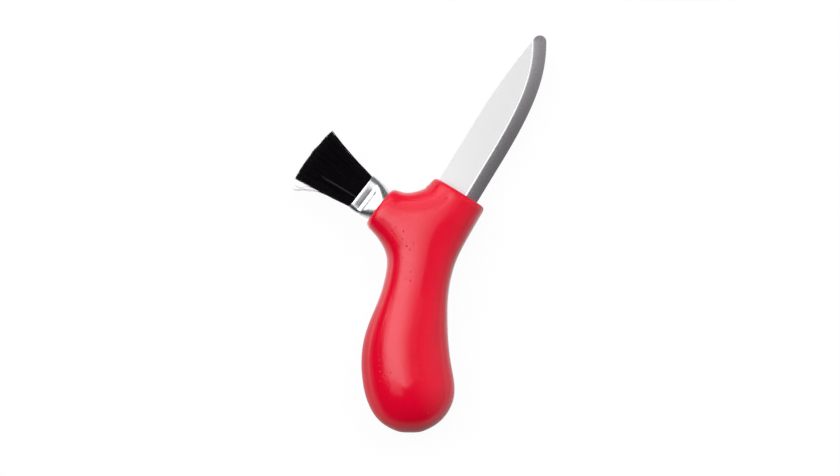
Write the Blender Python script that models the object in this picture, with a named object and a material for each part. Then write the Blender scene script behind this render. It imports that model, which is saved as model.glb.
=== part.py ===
"""Mushroom knife: a curved stainless blade and a round brush, both fixed in one Y-shaped lacquered handle.

Metres, +Z up. The knife lies on its side, so the blade's plane is level. The plan's own origin is the
fork, where the blade's axis crosses the brush's. The grip runs from it along -Y, the blade leans to +X
and the brush to -X. At the end the whole knife is moved so that the origin is the middle of its
bounding box's base.
"""

import math

import bmesh
import bpy
import numpy as np
from mathutils import Vector
from mathutils.geometry import interpolate_bezier

# Fits
FIT_GAP = 0.0003  # clearance between two pieces that meet
OVERRUN = 0.002  # how far a cutter runs past the face that it opens

# Handle: the grip, from the fork to the butt
GRIP_LENGTH = 0.0752
BULB_WIDTH = 0.0358
BULB_THICKNESS = 0.0248
WAIST_WIDTH = 0.0248
WAIST_THICKNESS = 0.0210

# Handle: the fork, its blade arm and its brush arm
FORK_THICKNESS = 0.0216
SADDLE_REACH = 0.02193  # from the fork to the lowest point between the arms
BLADE_ARM_REACH = 0.0244
BLADE_ARM_WIDTH = 0.0237
BLADE_ARM_THICKNESS = 0.0198
BLADE_ARM_OFFSET = 0.00072  # the arm's middle lies this far towards the cutting edge
BRUSH_ARM_REACH = 0.0244
BRUSH_ARM_WIDTH = 0.0193
BRUSH_ARM_THICKNESS = 0.0190
FACE_ROUNDING = 0.0036  # how far from an arm's rim its end face starts to turn
BRUSH_SIDE_ROUNDING = 0.0056  # the same at the two sides of the brush arm
BLADE_LEAN = math.radians(31.45)
BRUSH_LEAN = math.radians(52.15)
BLADE_SHIFT = -0.00015  # of the blade's middle from the line along which it leans, to its right
BRUSH_SHIFT = 0.0002

# Blade
BLADE_LENGTH = 0.0706  # from the handle's face to the tip
BLADE_WIDTH = 0.0176
BLADE_THICKNESS = 0.0020
BEVEL_WIDTH = 0.0048
EDGE_LAND = 0.00012  # thickness left at the cutting edge
STRAIGHT_EDGE = 0.0180  # straight part of the edge, before the belly
STRAIGHT_SPINE = 0.0300
TIP_RADIUS = 0.0026
TIP_OFFSET = 0.00326  # from the blade's axis towards the spine
BELLY_SWEEP = math.radians(31.45)  # turn of the edge from its straight part to the tip
SPINE_DROP = math.radians(7.4)
BLADE_SEAT = 0.0040  # full-width part that sits in the handle's slot

# Tang and its bedding
TANG_LENGTH = 0.0320
TANG_WIDTH = 0.0070
TANG_END_WIDTH = 0.0050
BEDDING_WALL = 0.0008

# Brush
FERRULE_RADIUS = 0.00735
FERRULE_WALL = 0.0004
FERRULE_SEAT = 0.0100  # length inside the handle
FERRULE_REACH = 0.0090  # length outside it
ROUND_END = 0.0003  # how far inside the handle the tube stops being round
FLAT_START = 0.0057  # how far outside it the tube has its full flats
MOUTH_WIDTH = 0.0167
MOUTH_DEPTH = 0.0077
MOUTH_CORNER = 0.0028
FLAT_CROWN = 0.00016  # how far the flats bulge in their middle
GROOVE_START = 0.0038  # from the handle to the groove that grips the bristles
GROOVE_BOTTOM = 0.0046
GROOVE_END = 0.0081
GROOVE_DEPTH = 0.00045
SLICE_THICKNESS = 0.0012  # the slice of resin that the bristles stand on
SLICE_SETBACK = 0.0053  # from the ferrule's mouth back to the slice
SETTING_SETBACK = 0.0010  # from the ferrule's rear end to the resin plug
BRISTLE_LENGTH = 0.0247  # outside the ferrule, in the tuft's middle
END_CROWN = 0.0009  # how much shorter the tuft is at its sides
TUFT_WIDTH = 0.0150  # at the ferrule's mouth
TUFT_DEPTH = 0.0060
FAN_WIDTH = 0.0242  # at the bristles' ends
FAN_DEPTH = 0.0108
STRAND_SPACING = 0.00026  # of the spiral that the strands stand on, from its middle
STRAND_RADIUS = 0.00019
STRAND_ROOT = 0.0004  # how far a strand reaches into its slice
STRAND_STRAY = 0.00012  # how far a strand's end strays sideways
STRAND_UNEVEN = 0.0005  # how far it ends short or long

# Grip sections: (along the grip, bow to the left, swell from waist to bulb, closing of the butt)
GRIP_SHARES = (
    (0.145, 0.078, 0.081, 1.000),
    (0.289, 0.145, 0.166, 1.000),
    (0.407, 0.202, 0.561, 1.000),
    (0.533, 0.243, 0.872, 1.000),
    (0.666, 0.227, 1.042, 1.000),
    (0.809, 0.178, 1.030, 1.033),
    (0.940, 0.184, 1.000, 0.768),
    (0.992, 0.186, 1.000, 0.381),
)
BUTT_CROWN_SHARE = 0.022  # how far the butt's middle stands past its last section
# Where the three rims of the fork lie, as (along, across) an arm
EDGE_SIDE_SHARES = (0.144, 1.031)
BRUSH_SIDE_SHARES = (0.407, 1.270)
SADDLE_TURN_SHARE = 0.635
# The blade arm's middle section, as (along, across) on each side
ARM_SADDLE_SHARES = (0.775, 1.100)
ARM_EDGE_SHARES = (0.462, 1.031)
ARM_DEPTH_SHARE = 0.70
# Squareness of the sections: 2 is an ellipse, more is squarer
BLADE_ARM_POWER = 2.3
BRUSH_ARM_POWER = 3.0
WAIST_POWER = 3.0
BULB_POWER = 2.1
HALF_STEPS = 6
BELLY_FULLNESS_SHARE = 0.75
SPINE_FULLNESS_SHARE = 0.67
TUFT_POWER = 2.6
BELLY_STEPS = 14
SPINE_STEPS = 8
TIP_STEPS = 10
CORNER_STEPS = 8
FLAT_STEPS = 4
FLATTENING_STEPS = 6
GROOVE_STEPS = 3


def clear_scene():
    for obj in list(bpy.data.objects):
        bpy.data.objects.remove(obj)


def material(name, color, roughness, metallic=0.0):
    made = bpy.data.materials.new(name)
    made.use_nodes = True
    shader = made.node_tree.nodes["Principled BSDF"]
    shader.inputs["Base Color"].default_value = (*color, 1.0)
    shader.inputs["Roughness"].default_value = roughness
    shader.inputs["Metallic"].default_value = metallic
    return made


def empty(name, parent=None, lean=0.0, along=0.0, across=0.0):
    """An empty that stands by a line from the fork, with +Y along that line and +X to its right."""
    made = bpy.data.objects.new(name, None)
    made.location = on_line(lean, along, across)
    made.rotation_euler.z = -lean
    made.parent = parent
    bpy.context.scene.collection.objects.link(made)
    return made


def piece(name, bm, parent, finish):
    """The bmesh as an object, facing out and shaded smooth but for its sharp edges."""
    bmesh.ops.recalc_face_normals(bm, faces=bm.faces)
    mesh = bpy.data.meshes.new(name)
    bm.to_mesh(mesh)
    bm.free()
    mesh.shade_smooth()
    mesh.set_sharp_from_angle(angle=math.radians(35))
    mesh.materials.append(finish)
    made = bpy.data.objects.new(name, mesh)
    made.parent = parent
    bpy.context.scene.collection.objects.link(made)
    return made


def boolean(target, name, bm, seat, operation="DIFFERENCE"):
    """Takes a shape that stands in a seat's frame from the target, or joins it on."""
    tool = piece(name, bm, seat, target.data.materials[0])
    tool.hide_render = True
    tool.display_type = "WIRE"
    modifier = target.modifiers.new(name, "BOOLEAN")
    modifier.operation = operation
    modifier.object = tool
    modifier.solver = "EXACT"


def on_line(lean, along, across):
    """A plan point along a line from the fork that leans from +Y towards +X, and to that line's right."""
    right = Vector((math.cos(lean), -math.sin(lean), 0))
    ahead = Vector((math.sin(lean), math.cos(lean), 0))
    return ahead * along + right * across


def mix(start, end, share):
    return start + (end - start) * share


def box(low, high):
    """A box as a bmesh, from its lowest and highest corners."""
    bm = bmesh.new()
    bmesh.ops.create_cube(bm, size=1)
    size = Vector(high) - Vector(low)
    for vert in bm.verts:
        vert.co = Vector(low) + size / 2 + Vector(vert.co[i] * size[i] for i in range(3))
    return bm


def prism(outline, half_depth):
    """A plan outline, thickened to both sides of z = 0."""
    bm = bmesh.new()
    face = bm.faces.new([bm.verts.new((x, y, -half_depth)) for x, y in outline])
    raised = bmesh.ops.extrude_face_region(bm, geom=[face])["geom"]
    top = [item for item in raised if isinstance(item, bmesh.types.BMVert)]
    bmesh.ops.translate(bm, verts=top, vec=(0, 0, 2 * half_depth))
    return bm


def loft(bm, rings, closed=False):
    """Faces between each ring of vertices and the next, and back to the first where closed."""
    following = rings[1:] + rings[:1] if closed else rings[1:]
    for ring, other in zip(rings, following):
        for i, vert in enumerate(ring):
            j = (i + 1) % len(ring)
            bm.faces.new((vert, ring[j], other[j], other[i]))


# Handle


def half_section(middle, rim, half_depth, squareness):
    """Points from a section's underside, round the rim of one side, to its top.

    They are those of a subdivision cage, so they stand out from the surface that it makes.
    """
    turn = math.pi / HALF_STEPS
    stand_out = 3 / (2 + math.cos(turn))
    power = 2 / squareness
    points = []
    for step in range(HALF_STEPS + 1):
        side, up = math.sin(step * turn), -math.cos(step * turn)
        side = abs(side) ** power * stand_out
        up = math.copysign(abs(up) ** power, up) * stand_out
        points.append(middle + (rim - middle) * side + Vector((0, 0, half_depth * up)))
    return points


def section(bm, left, right, half_depth, squareness):
    """A closed ring of vertices, from the underside up over the left rim and down over the right."""
    middle = (left + right) / 2
    up = half_section(middle, left, half_depth, squareness)
    down = half_section(middle, right, half_depth, squareness)[-2:0:-1]
    return [bm.verts.new(point) for point in up + down]


def close_end(bm, ring, crown):
    """Closes a ring with a grid of four by two faces, whose middle row is moved by crown."""
    row = []
    for top, under in ((5, 1), (6, 0), (7, 11)):
        row.append(bm.verts.new((ring[top].co + ring[under].co) / 2 + crown))
    above = ring[4:9]
    below = [ring[i] for i in (2, 1, 0, 11, 10)]
    between = [ring[3], *row, ring[9]]
    for i in range(4):
        bm.faces.new((above[i], above[i + 1], between[i + 1], between[i]))
        bm.faces.new((between[i], between[i + 1], below[i + 1], below[i]))


def arm_end(bm, lean, reach, middle, half_width, half_depth, side_rounding, squareness):
    """The last rings of an arm: its straight end, the rim of its flat face, and a ring on that face."""
    rings = []
    for setback, inset, sink in ((side_rounding, 0, 0), (0, 0, 0), (0, side_rounding, FACE_ROUNDING)):
        left = on_line(lean, reach - setback, middle - half_width + inset)
        right = on_line(lean, reach - setback, middle + half_width - inset)
        rings.append(section(bm, left, right, half_depth - sink, squareness))
    return rings


def grip_rings(bm):
    rings = []
    for along, bow, swell, closing in GRIP_SHARES:
        middle = Vector((-bow * BULB_WIDTH, -along * GRIP_LENGTH, 0))
        half = Vector((closing * mix(WAIST_WIDTH, BULB_WIDTH, swell) / 2, 0, 0))
        half_depth = closing * mix(WAIST_THICKNESS, BULB_THICKNESS, swell) / 2
        squareness = mix(WAIST_POWER, BULB_POWER, swell)
        rings.append(section(bm, middle - half, middle + half, half_depth, squareness))
    return rings


def blade_arm_rings(bm):
    half_width, reach = BLADE_ARM_WIDTH / 2, BLADE_ARM_REACH
    saddle_along, saddle_across = ARM_SADDLE_SHARES
    edge_along, edge_across = ARM_EDGE_SHARES
    left = on_line(BLADE_LEAN, saddle_along * reach, BLADE_ARM_OFFSET - saddle_across * half_width)
    right = on_line(BLADE_LEAN, edge_along * reach, BLADE_ARM_OFFSET + edge_across * half_width)
    depth = mix(BLADE_ARM_THICKNESS, FORK_THICKNESS, ARM_DEPTH_SHARE)
    root = section(bm, left, right, depth / 2, BLADE_ARM_POWER)
    middle, half_depth = BLADE_ARM_OFFSET, BLADE_ARM_THICKNESS / 2
    finish = (FACE_ROUNDING, BLADE_ARM_POWER)
    return [root, *arm_end(bm, BLADE_LEAN, reach, middle, half_width, half_depth, *finish)]


def brush_arm_rings(bm):
    half_width, half_depth = BRUSH_ARM_WIDTH / 2, BRUSH_ARM_THICKNESS / 2
    finish = (BRUSH_SIDE_ROUNDING, BRUSH_ARM_POWER)
    return arm_end(bm, -BRUSH_LEAN, BRUSH_ARM_REACH, 0, half_width, half_depth, *finish)


def fork_rims():
    """The plan points of the fork's three rims: edge side, brush side and saddle."""
    along, across = EDGE_SIDE_SHARES
    half = BLADE_ARM_WIDTH / 2
    edge_side = on_line(BLADE_LEAN, along * BLADE_ARM_REACH, BLADE_ARM_OFFSET + across * half)
    along, across = BRUSH_SIDE_SHARES
    half = BRUSH_ARM_WIDTH / 2
    brush_side = on_line(-BRUSH_LEAN, along * BRUSH_ARM_REACH, -across * half)
    saddle = on_line(mix(-BRUSH_LEAN, BLADE_LEAN, SADDLE_TURN_SHARE), SADDLE_REACH, 0)
    return edge_side, brush_side, saddle


def handle_cage():
    """The handle's subdivision cage: three tubes of twelve sides that share the fork's two poles."""
    bm = bmesh.new()
    rims = fork_rims()
    middle = sum(rims, Vector()) / len(rims)
    halves = [half_section(middle, rim, FORK_THICKNESS / 2, WAIST_POWER) for rim in rims]
    under, top = bm.verts.new(halves[0][0]), bm.verts.new(halves[0][-1])
    edge_side, brush_side, saddle = ([bm.verts.new(p) for p in half[1:-1]] for half in halves)
    branches = (
        (brush_side, edge_side, grip_rings(bm), Vector((0, -BUTT_CROWN_SHARE * GRIP_LENGTH, 0))),
        (saddle, edge_side, blade_arm_rings(bm), Vector()),
        (brush_side, saddle, brush_arm_rings(bm), Vector()),
    )
    for left, right, rings, crown in branches:
        loft(bm, [[under, *left, top, *reversed(right)], *rings])
        close_end(bm, rings[-1], crown)
    return bm


def make_handle(frame, blade_seat, brush_seat):
    finish = material("red_lacquer", (0.72, 0.015, 0.035), 0.32)
    handle = piece("handle", handle_cage(), frame, finish)
    smooth = handle.modifiers.new("rounded", "SUBSURF")
    smooth.levels = smooth.render_levels = 2
    boolean(handle, "blade_slot", blade_slot(), blade_seat)
    boolean(handle, "tang_hole", tang_hole(), blade_seat)
    boolean(handle, "ferrule_socket", ferrule_socket(), brush_seat)
    return handle


def blade_slot():
    half_width, half_depth = BLADE_WIDTH / 2 + FIT_GAP, BLADE_THICKNESS / 2 + FIT_GAP
    return box((-half_width, -BLADE_SEAT - FIT_GAP, -half_depth), (half_width, OVERRUN, half_depth))


def bedding_size(clearance):
    """Half width, length and half depth of the tang's bedding, less a clearance on each side."""
    around = FIT_GAP + BEDDING_WALL + FIT_GAP - clearance
    return TANG_WIDTH / 2 + around, TANG_LENGTH + around, BLADE_THICKNESS / 2 + around


def tang_hole():
    half_width, length, half_depth = bedding_size(0)
    return box((-half_width, -BLADE_SEAT - length, -half_depth), (half_width, -BLADE_SEAT, half_depth))


def ferrule_socket():
    """The hole that the ferrule sits in, which opens as the ferrule starts to flatten."""
    return capped_rings((-FERRULE_SEAT - FIT_GAP, -ROUND_END, OVERRUN / 2, OVERRUN), -FIT_GAP)


# Blade, in its seat's frame: +Y out of the handle, +X towards the cutting edge


def curve(start, corner, end, fullness, steps):
    """A smooth curve between two tangents that meet at a corner, without its start."""
    start, corner, end = (Vector((*point, 0)) for point in (start, corner, end))
    handle_a, handle_b = mix(start, corner, fullness), mix(end, corner, fullness)
    points = interpolate_bezier(start, handle_a, handle_b, end, steps + 1)
    return [(point.x, point.y) for point in points[1:]]


def edge_line():
    """The cutting edge from the handle to where the tip's arc takes over."""
    x, y = -TIP_OFFSET, BLADE_LENGTH - TIP_RADIUS
    end = (x + TIP_RADIUS * math.cos(BELLY_SWEEP), y + TIP_RADIUS * math.sin(BELLY_SWEEP))
    half = BLADE_WIDTH / 2
    corner = (half, end[1] - (half - end[0]) / math.tan(BELLY_SWEEP))
    start = (half, STRAIGHT_EDGE)
    belly = curve(start, corner, end, BELLY_FULLNESS_SHARE, BELLY_STEPS)
    return [(half, -BLADE_SEAT), start, *belly]


def spine_line():
    """The spine from the handle to where the tip's arc starts."""
    x, y = -TIP_OFFSET, BLADE_LENGTH - TIP_RADIUS
    end = (x - TIP_RADIUS * math.cos(SPINE_DROP), y + TIP_RADIUS * math.sin(SPINE_DROP))
    half = BLADE_WIDTH / 2
    corner = (-half, end[1] - (half + end[0]) / math.tan(SPINE_DROP))
    start = (-half, STRAIGHT_SPINE)
    return [(-half, -BLADE_SEAT), start, *curve(start, corner, end, SPINE_FULLNESS_SHARE, SPINE_STEPS)]


def tip_arc():
    """The rounded tip's points between the spine's end and the edge's."""
    first, last = math.pi - SPINE_DROP, BELLY_SWEEP
    points = []
    for step in range(1, TIP_STEPS):
        turn = mix(first, last, step / TIP_STEPS)
        x = -TIP_OFFSET + TIP_RADIUS * math.cos(turn)
        points.append((x, BLADE_LENGTH - TIP_RADIUS + TIP_RADIUS * math.sin(turn)))
    return points


def tang_line():
    """The stick tang's outline, from the edge side to the spine side."""
    end = -BLADE_SEAT - TANG_LENGTH
    return [
        (TANG_WIDTH / 2, -BLADE_SEAT),
        (TANG_END_WIDTH / 2, end),
        (-TANG_END_WIDTH / 2, end),
        (-TANG_WIDTH / 2, -BLADE_SEAT),
    ]


def grinder(side):
    """What grinding takes off one side of the blade: a wedge that follows the cutting edge."""
    path = [Vector(point) for point in edge_line()]
    path[0] -= (path[1] - path[0]).normalized() * OVERRUN
    ahead = (path[-1] - path[-2]).normalized()
    path.append(path[-1] + ahead * (2 * TIP_RADIUS + OVERRUN))
    rise = (BLADE_THICKNESS - EDGE_LAND) / 2 / BEVEL_WIDTH
    bm = bmesh.new()
    rings = []
    for i, point in enumerate(path):
        before, after = path[max(i - 1, 0)], path[min(i + 1, len(path) - 1)]
        inner = (point - before).normalized() if i else (after - point).normalized()
        outer = (after - point).normalized() if i < len(path) - 1 else inner
        bisector = (inner + outer).normalized()
        out = Vector((bisector.y, -bisector.x)) / bisector.dot(inner)
        ring = []
        for across, up in (
            (-BEVEL_WIDTH - OVERRUN, BLADE_THICKNESS / 2 + rise * OVERRUN),
            (OVERRUN, EDGE_LAND / 2 - rise * OVERRUN),
            (OVERRUN, BLADE_THICKNESS / 2 + OVERRUN),
            (-BEVEL_WIDTH - OVERRUN, BLADE_THICKNESS / 2 + OVERRUN),
        ):
            spot = point + out * across
            ring.append(bm.verts.new((spot.x, spot.y, side * up)))
        rings.append(ring)
    loft(bm, rings)
    bm.faces.new(rings[0])
    bm.faces.new(rings[-1])
    return bm


def make_blade(seat):
    finish = material("stainless_steel", (0.72, 0.72, 0.73), 0.22, 1.0)
    outline = [*spine_line(), *tip_arc(), *reversed(edge_line()), *tang_line()]
    blade = piece("blade", prism(outline, BLADE_THICKNESS / 2), seat, finish)
    boolean(blade, "upper_grind", grinder(1), seat)
    boolean(blade, "lower_grind", grinder(-1), seat)
    return blade


def make_bedding(seat):
    """The adhesive round the tang: a sleeve that is closed at its inner end."""
    finish = material("epoxy", (0.55, 0.42, 0.22), 0.35)
    half_width, length, half_depth = bedding_size(FIT_GAP)
    top = -BLADE_SEAT - FIT_GAP
    bm = box((-half_width, -BLADE_SEAT - length, -half_depth), (half_width, top, half_depth))
    bedding = piece("tang_bedding", bm, seat, finish)
    half_width, half_depth = TANG_WIDTH / 2 + FIT_GAP, BLADE_THICKNESS / 2 + FIT_GAP
    low = (-half_width, -BLADE_SEAT - TANG_LENGTH - FIT_GAP, -half_depth)
    high = (half_width, top + OVERRUN, half_depth)
    boolean(bedding, "tang_space", box(low, high), seat)
    return bedding


# Brush, in its seat's frame: +Y out of the handle


def ease(share):
    """A share from 0 to 1, made to start and end gently."""
    share = min(max(share, 0), 1)
    return share * share * (3 - 2 * share)


def flattening(y):
    """How far the ferrule has gone from round, 0, to its full flats, 1."""
    share = (y + ROUND_END) / (FLAT_START + ROUND_END)
    return mix(min(max(share, 0), 1), ease(share), 0.5)


def ferrule_ring(bm, y, inset):
    """The ferrule's section at y, drawn in by an inset: four corner arcs with slight bulges between."""
    share = flattening(y)
    flat_x = share * (MOUTH_WIDTH / 2 - MOUTH_CORNER)
    flat_z = share * (MOUTH_DEPTH / 2 - MOUTH_CORNER)
    radius = mix(FERRULE_RADIUS, MOUTH_CORNER, share) - inset
    ring = []
    for quarter in range(4):
        x_side = 1 if quarter in (0, 3) else -1
        z_side = 1 if quarter in (0, 1) else -1
        for step in range(CORNER_STEPS + 1):
            turn = math.pi / 2 * (quarter + step / CORNER_STEPS)
            x = x_side * flat_x + radius * math.cos(turn)
            z = z_side * flat_z + radius * math.sin(turn)
            ring.append(bm.verts.new((x, y, z)))
        for step in range(1, FLAT_STEPS if quarter in (0, 2) else 0):
            across = 1 - 2 * step / FLAT_STEPS
            crown = share * FLAT_CROWN * (1 - across * across)
            ring.append(bm.verts.new((x_side * across * flat_x, y, z_side * (flat_z + radius + crown))))
    return ring


def weld(bm):
    """Merges the points that coincide where a section is round and its flats have no length."""
    bmesh.ops.remove_doubles(bm, verts=bm.verts, dist=FIT_GAP / 100)


def capped_rings(stations, inset):
    """A closed solid between the ferrule's sections at some stations, all drawn in by an inset."""
    bm = bmesh.new()
    rings = [ferrule_ring(bm, y, inset) for y in stations]
    loft(bm, rings)
    bm.faces.new(rings[0])
    bm.faces.new(rings[-1])
    weld(bm)
    return bm


def groove(y):
    """How deep the wall is pressed in at y: steeply from the handle's side, gently up to the mouth."""
    down = min(max((y - GROOVE_START) / (GROOVE_BOTTOM - GROOVE_START), 0), 1)
    up = min(max((y - GROOVE_BOTTOM) / (GROOVE_END - GROOVE_BOTTOM), 0), 1)
    return GROOVE_DEPTH * (down - up * (1.5 - up / 2))


def make_ferrule(seat):
    """A thin tube, pressed in near its mouth by the groove that grips the bristles."""
    finish = material("tinned_steel", (0.80, 0.81, 0.82), 0.18, 1.0)
    stations = [-FERRULE_SEAT, *np.linspace(-ROUND_END, GROOVE_START, FLATTENING_STEPS)]
    stations += [*np.linspace(GROOVE_BOTTOM, GROOVE_END, GROOVE_STEPS), FERRULE_REACH]
    bm = bmesh.new()
    outer = [ferrule_ring(bm, y, groove(y)) for y in stations]
    inner = [ferrule_ring(bm, y, groove(y) + FERRULE_WALL) for y in stations]
    loft(bm, [*outer, *reversed(inner)], closed=True)
    weld(bm)
    return piece("brush_ferrule", bm, seat, finish)


def make_setting(seat):
    back = FERRULE_REACH - SLICE_SETBACK - SLICE_THICKNESS
    stations = (-FERRULE_SEAT + SETTING_SETBACK, -ROUND_END, back / 2, back - FIT_GAP)
    bm = capped_rings(stations, FERRULE_WALL + FIT_GAP)
    return piece("bristle_setting", bm, seat, material("resin", (0.62, 0.50, 0.28), 0.4))


def strand_places():
    """The strands' places in the tuft, as shares of its half width and half depth.

    They stand on a spiral whose turn from each to the next is the golden angle, so that no rows form.
    """
    golden = math.pi * (3 - math.sqrt(5))
    half_width, half_depth = TUFT_WIDTH / 2, TUFT_DEPTH / 2
    places = []
    for i in range(math.ceil((half_width**2 + half_depth**2) / STRAND_SPACING**2)):
        distance = STRAND_SPACING * math.sqrt(i + 0.5)
        x, z = distance * math.cos(i * golden) / half_width, distance * math.sin(i * golden) / half_depth
        if abs(x) ** TUFT_POWER + abs(z) ** TUFT_POWER <= 1:
            places.append((x, z))
    return places


def strands():
    """Straight three-sided strands that fan out, each in a place of its own, so that none cross."""
    rng = np.random.default_rng(11)
    bm = bmesh.new()
    root = FERRULE_REACH - SLICE_SETBACK - STRAND_ROOT
    for x, z in strand_places():
        stray = rng.uniform(-STRAND_STRAY, STRAND_STRAY, 2)
        end = FERRULE_REACH + BRISTLE_LENGTH - END_CROWN * x * x
        end += rng.uniform(-STRAND_UNEVEN, STRAND_UNEVEN)
        spin = rng.uniform(0, 2 * math.pi)
        rings = []
        for y, drift in ((root, 0), (end, 1)):
            fan = (y - FERRULE_REACH) / BRISTLE_LENGTH
            centre_x = x * mix(TUFT_WIDTH, FAN_WIDTH, fan) / 2 + stray[0] * drift
            centre_z = z * mix(TUFT_DEPTH, FAN_DEPTH, fan) / 2 + stray[1] * drift
            ring = []
            for corner in range(3):
                turn = spin + 2 * math.pi * corner / 3
                point_x = centre_x + STRAND_RADIUS * math.cos(turn)
                point_z = centre_z + STRAND_RADIUS * math.sin(turn)
                ring.append(bm.verts.new((point_x, y, point_z)))
            rings.append(ring)
        loft(bm, rings)
        bm.faces.new(rings[0])
        bm.faces.new(rings[-1])
    return bm


def make_bristles(seat):
    finish = material("black_bristle", (0.012, 0.010, 0.012), 0.45)
    front = FERRULE_REACH - SLICE_SETBACK
    slice_end = capped_rings((front - SLICE_THICKNESS, front), FERRULE_WALL + FIT_GAP)
    bristles = piece("bristles", slice_end, seat, finish)
    boolean(bristles, "strands", strands(), seat, "UNION")
    return bristles


def set_on_origin(frame, pieces):
    """Moves the knife so that the origin is the middle of its bounding box's base."""
    bpy.context.view_layer.update()
    graph = bpy.context.evaluated_depsgraph_get()
    corners = []
    for obj in pieces:
        evaluated = obj.evaluated_get(graph)
        mesh = evaluated.to_mesh()
        corners += [evaluated.matrix_world @ vert.co for vert in mesh.vertices]
        evaluated.to_mesh_clear()
    corners = np.array(corners)
    low, high = corners.min(axis=0), corners.max(axis=0)
    middle = (low + high) / 2
    frame.location = (-middle[0], -middle[1], -low[2])


def main():
    clear_scene()
    frame = empty("knife_frame")
    blade_seat = empty("blade_seat", frame, BLADE_LEAN, BLADE_ARM_REACH, BLADE_SHIFT)
    brush_seat = empty("brush_seat", frame, -BRUSH_LEAN, BRUSH_ARM_REACH, BRUSH_SHIFT)
    pieces = [
        make_handle(frame, blade_seat, brush_seat),
        make_blade(blade_seat),
        make_bedding(blade_seat),
        make_ferrule(brush_seat),
        make_setting(brush_seat),
        make_bristles(brush_seat),
    ]
    set_on_origin(frame, pieces)


main()
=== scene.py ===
"""Looks of the mushroom knife: red lacquer, ground stainless steel, a crimped ferrule and a black brush.

Metres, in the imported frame. The handle, the blade and the ferrule are made again from the same driving
dimensions with finer surfaces, and the brush is made of single hairs.
"""

import math

import bmesh
import bpy
import numpy as np
from mathutils import Matrix, Vector, noise
from mathutils.geometry import interpolate_bezier


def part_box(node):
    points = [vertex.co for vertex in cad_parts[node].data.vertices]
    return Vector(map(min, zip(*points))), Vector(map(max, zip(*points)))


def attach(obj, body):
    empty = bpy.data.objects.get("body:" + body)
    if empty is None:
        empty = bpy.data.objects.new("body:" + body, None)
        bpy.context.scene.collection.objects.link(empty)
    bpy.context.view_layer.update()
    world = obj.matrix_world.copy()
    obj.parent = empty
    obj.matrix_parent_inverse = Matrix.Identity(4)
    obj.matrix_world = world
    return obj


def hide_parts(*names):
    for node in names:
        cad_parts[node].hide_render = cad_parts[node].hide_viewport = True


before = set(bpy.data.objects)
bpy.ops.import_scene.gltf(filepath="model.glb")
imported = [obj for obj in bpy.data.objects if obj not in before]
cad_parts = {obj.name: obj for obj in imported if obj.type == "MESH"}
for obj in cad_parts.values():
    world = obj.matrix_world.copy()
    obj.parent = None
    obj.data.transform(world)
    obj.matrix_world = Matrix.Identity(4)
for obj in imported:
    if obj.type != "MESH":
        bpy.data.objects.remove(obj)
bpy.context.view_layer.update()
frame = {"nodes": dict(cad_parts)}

# Fits: the finished pieces meet closer than the solids do
TIGHT_FIT = 0.00005
SOCKET_FIT = 0.00018  # between the ferrule and its hole
OVERRUN = 0.002  # how far a cutter runs past the face that it opens
MERGE_DISTANCE = TIGHT_FIT / 100

# Handle
GRIP_LENGTH = 0.0752
BULB_WIDTH = 0.0358
BULB_THICKNESS = 0.0248
WAIST_WIDTH = 0.0248
WAIST_THICKNESS = 0.0210
FORK_THICKNESS = 0.0216
SADDLE_REACH = 0.02193  # from the fork to the lowest point between the arms
BLADE_ARM_REACH = 0.0244
BLADE_ARM_WIDTH = 0.0237
BLADE_ARM_THICKNESS = 0.0198
BLADE_ARM_OFFSET = 0.00072  # the arm's middle lies this far towards the cutting edge
BRUSH_ARM_REACH = 0.0244
BRUSH_ARM_WIDTH = 0.0193
BRUSH_ARM_THICKNESS = 0.0190
FACE_ROUNDING = 0.0036  # how far from an arm's rim its end face starts to turn
BRUSH_SIDE_ROUNDING = 0.0056  # the same at the two sides of the brush arm
BLADE_LEAN = math.radians(31.45)
BRUSH_LEAN = math.radians(52.15)
BLADE_SHIFT = -0.00015  # of the blade's middle from the line along which it leans, to its right
BRUSH_SHIFT = 0.0002
HAND_WAVER = 0.00007  # how far the hand-finished surface wanders
WAVER_SIZE = 0.009

# Blade and tang
BLADE_LENGTH = 0.0706  # from the handle's face to the tip
BLADE_WIDTH = 0.0176
BLADE_THICKNESS = 0.0020
BEVEL_WIDTH = 0.0048
TIP_LIGHT_START = 0.0560  # from the fork to where the bevel's colour is painted lighter towards the tip, a painted reflection
EDGE_LAND = 0.00006  # thickness left at the cutting edge
STRAIGHT_EDGE = 0.0180  # straight part of the edge, before the belly
STRAIGHT_SPINE = 0.0300
TIP_RADIUS = 0.0026
TIP_OFFSET = 0.00326  # from the blade's axis towards the spine
BELLY_SWEEP = math.radians(31.45)  # turn of the edge from its straight part to the tip
SPINE_DROP = math.radians(7.4)
BLADE_SEAT = 0.0040  # full-width part that sits in the handle's slot
TANG_LENGTH = 0.0320
TANG_WIDTH = 0.0070
TANG_END_WIDTH = 0.0050
BEDDING_WALL = 0.0008
BEDDING_FIT = 0.0003
SHOULDER_WIDTH = 0.0008  # line between the flat and the bevel, which carries a painted highlight
SHOULDER_DIP = 0.00003
SHOULDER_TILT = 0.1  # from this share of the bevel's tilt a face is part of the shoulder
BEVEL_TILTS = (0.75, 1.25)  # and within these it is part of the bevel

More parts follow.
